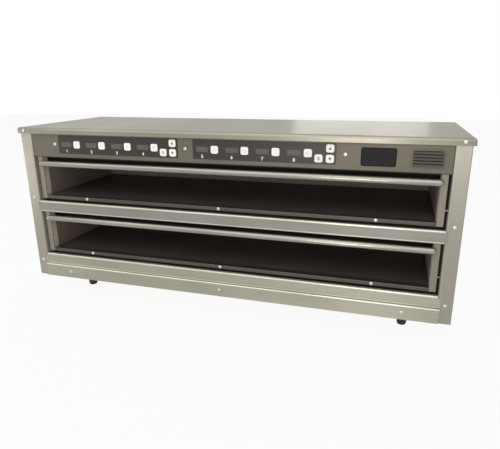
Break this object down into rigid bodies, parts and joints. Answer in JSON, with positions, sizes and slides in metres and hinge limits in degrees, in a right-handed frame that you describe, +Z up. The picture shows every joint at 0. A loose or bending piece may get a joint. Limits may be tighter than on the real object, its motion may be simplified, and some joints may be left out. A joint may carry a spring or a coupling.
{
  "type": "heated holding bin",
  "caption": "Wide stainless counter cabinet with two open-fronted heated bins, timer keys and displays under the lid, a louvred vent and rubber feet; keeps wrapped food hot.",
  "frame": {"origin": "on the floor under the middle of the lid", "axes": "+X to the right seen from the front, +Y to the rear, +Z up; the bins open towards -Y"},
  "size_m": [1.026, 0.3536, 0.441],
  "materials": {
    "brushed_stainless": "brushed, warm grey",
    "lid_stainless": "brushed, pale and glossy",
    "panel_stainless": "brushed, in shade under the lid",
    "bright_stainless": "polished",
    "dark_coating": "dark non-stick coating, satin",
    "overlay_film": "printed film, satin",
    "badge_black": "gloss",
    "display_window": "unlit display, gloss",
    "key_white": "moulded, satin",
    "circuit_board": "lacquered board",
    "heater_foil": "foil",
    "insulation_wool": "black-faced mineral wool",
    "sensor_metal": "machined",
    "terminal_white": "moulded",
    "moulded_black": "moulded",
    "foot_rubber": "moulded rubber",
    "screw_steel": "plated",
    "loom_sleeve": "sleeve"
  },
  "bodies": {
    "cabinet": {"base_pan": "brushed_stainless", "plinth_panel": "brushed_stainless", "bottom_rail": "brushed_stainless", "mid_rail": "brushed_stainless", "side_panel_left": "brushed_stainless", "side_panel_right": "brushed_stainless", "rear_panel": "brushed_stainless", "top_cover": "lid_stainless", "control_panel": "panel_stainless", "control_tray": "brushed_stainless", "vent_grille": "panel_stainless", "badge_plate": "badge_black", "left_overlay": "overlay_film", "right_overlay": "overlay_film", "timer_displays": "display_window", "left_control_board": "circuit_board", "right_control_board": "circuit_board", "upper_bin_wrap": "dark_coating", "upper_bin_floor": "dark_coating", "upper_bin_ceiling": "dark_coating", "upper_front_frame": "bright_stainless", "upper_bar": "bright_stainless", "lower_bin_wrap": "dark_coating", "lower_bin_floor": "dark_coating", "lower_bin_ceiling": "dark_coating", "lower_front_frame": "bright_stainless", "lower_bar": "bright_stainless", "floor_heaters": "heater_foil", "ceiling_heaters": "heater_foil", "top_insulation": "insulation_wool", "middle_insulation": "insulation_wool", "floor_insulation": "insulation_wool", "side_insulation": "insulation_wool", "bin_sensors": "sensor_metal", "high_limit_thermostats": "sensor_metal", "power_board": "circuit_board", "terminal_block": "terminal_white", "fan_frame": "moulded_black", "power_inlet": "moulded_black", "switch_housing": "moulded_black", "feet": "foot_rubber", "front_screws": "screw_steel", "rear_screws": "screw_steel", "wiring_loom": "loom_sleeve"},
    "timer_key_1_body": {"timer_key_1": "key_white"},
    "timer_key_2_body": {"timer_key_2": "key_white"},
    "timer_key_3_body": {"timer_key_3": "key_white"},
    "timer_key_4_body": {"timer_key_4": "key_white"},
    "timer_key_5_body": {"timer_key_5": "key_white"},
    "timer_key_6_body": {"timer_key_6": "key_white"},
    "timer_key_7_body": {"timer_key_7": "key_white"},
    "timer_key_8_body": {"timer_key_8": "key_white"},
    "left_up_key_body": {"left_up_key": "key_white"},
    "left_down_key_body": {"left_down_key": "key_white"},
    "left_program_key_body": {"left_program_key": "key_white"},
    "right_up_key_body": {"right_up_key": "key_white"},
    "right_down_key_body": {"right_down_key": "key_white"},
    "right_program_key_body": {"right_program_key": "key_white"},
    "fan": {"fan_rotor": "moulded_black"},
    "rocker": {"power_rocker": "moulded_black"}
  },
  "joints": [
    {"name": "timer_key_1_press", "type": "slide", "parent": "cabinet", "child": "timer_key_1_body", "axis": [0, 1, 0], "range_m": [0, 0.0008], "stiffness_N_per_m": 900},
    {"name": "timer_key_2_press", "type": "slide", "parent": "cabinet", "child": "timer_key_2_body", "axis": [0, 1, 0], "range_m": [0, 0.0008], "stiffness_N_per_m": 900},
    {"name": "timer_key_3_press", "type": "slide", "parent": "cabinet", "child": "timer_key_3_body", "axis": [0, 1, 0], "range_m": [0, 0.0008], "stiffness_N_per_m": 900},
    {"name": "timer_key_4_press", "type": "slide", "parent": "cabinet", "child": "timer_key_4_body", "axis": [0, 1, 0], "range_m": [0, 0.0008], "stiffness_N_per_m": 900},
    {"name": "timer_key_5_press", "type": "slide", "parent": "cabinet", "child": "timer_key_5_body", "axis": [0, 1, 0], "range_m": [0, 0.0008], "stiffness_N_per_m": 900},
    {"name": "timer_key_6_press", "type": "slide", "parent": "cabinet", "child": "timer_key_6_body", "axis": [0, 1, 0], "range_m": [0, 0.0008], "stiffness_N_per_m": 900},
    {"name": "timer_key_7_press", "type": "slide", "parent": "cabinet", "child": "timer_key_7_body", "axis": [0, 1, 0], "range_m": [0, 0.0008], "stiffness_N_per_m": 900},
    {"name": "timer_key_8_press", "type": "slide", "parent": "cabinet", "child": "timer_key_8_body", "axis": [0, 1, 0], "range_m": [0, 0.0008], "stiffness_N_per_m": 900},
    {"name": "left_up_key_press", "type": "slide", "parent": "cabinet", "child": "left_up_key_body", "axis": [0, 1, 0], "range_m": [0, 0.0008], "stiffness_N_per_m": 900},
    {"name": "left_down_key_press", "type": "slide", "parent": "cabinet", "child": "left_down_key_body", "axis": [0, 1, 0], "range_m": [0, 0.0008], "stiffness_N_per_m": 900},
    {"name": "left_program_key_press", "type": "slide", "parent": "cabinet", "child": "left_program_key_body", "axis": [0, 1, 0], "range_m": [0, 0.0008], "stiffness_N_per_m": 900},
    {"name": "right_up_key_press", "type": "slide", "parent": "cabinet", "child": "right_up_key_body", "axis": [0, 1, 0], "range_m": [0, 0.0008], "stiffness_N_per_m": 900},
    {"name": "right_down_key_press", "type": "slide", "parent": "cabinet", "child": "right_down_key_body", "axis": [0, 1, 0], "range_m": [0, 0.0008], "stiffness_N_per_m": 900},
    {"name": "right_program_key_press", "type": "slide", "parent": "cabinet", "child": "right_program_key_body", "axis": [0, 1, 0], "range_m": [0, 0.0008], "stiffness_N_per_m": 900},
    {"name": "fan_spin", "type": "hinge", "parent": "cabinet", "child": "fan", "pos_m": [0.4315, -0.1573, 0.3995], "axis": [0, 1, 0], "continuous": true},
    {"name": "rocker_tilt", "type": "hinge", "parent": "cabinet", "child": "rocker", "pos_m": [0.3, 0.169, 0.4025], "axis": [-1, 0, 0], "range_deg": [0, 20]}
  ]
}
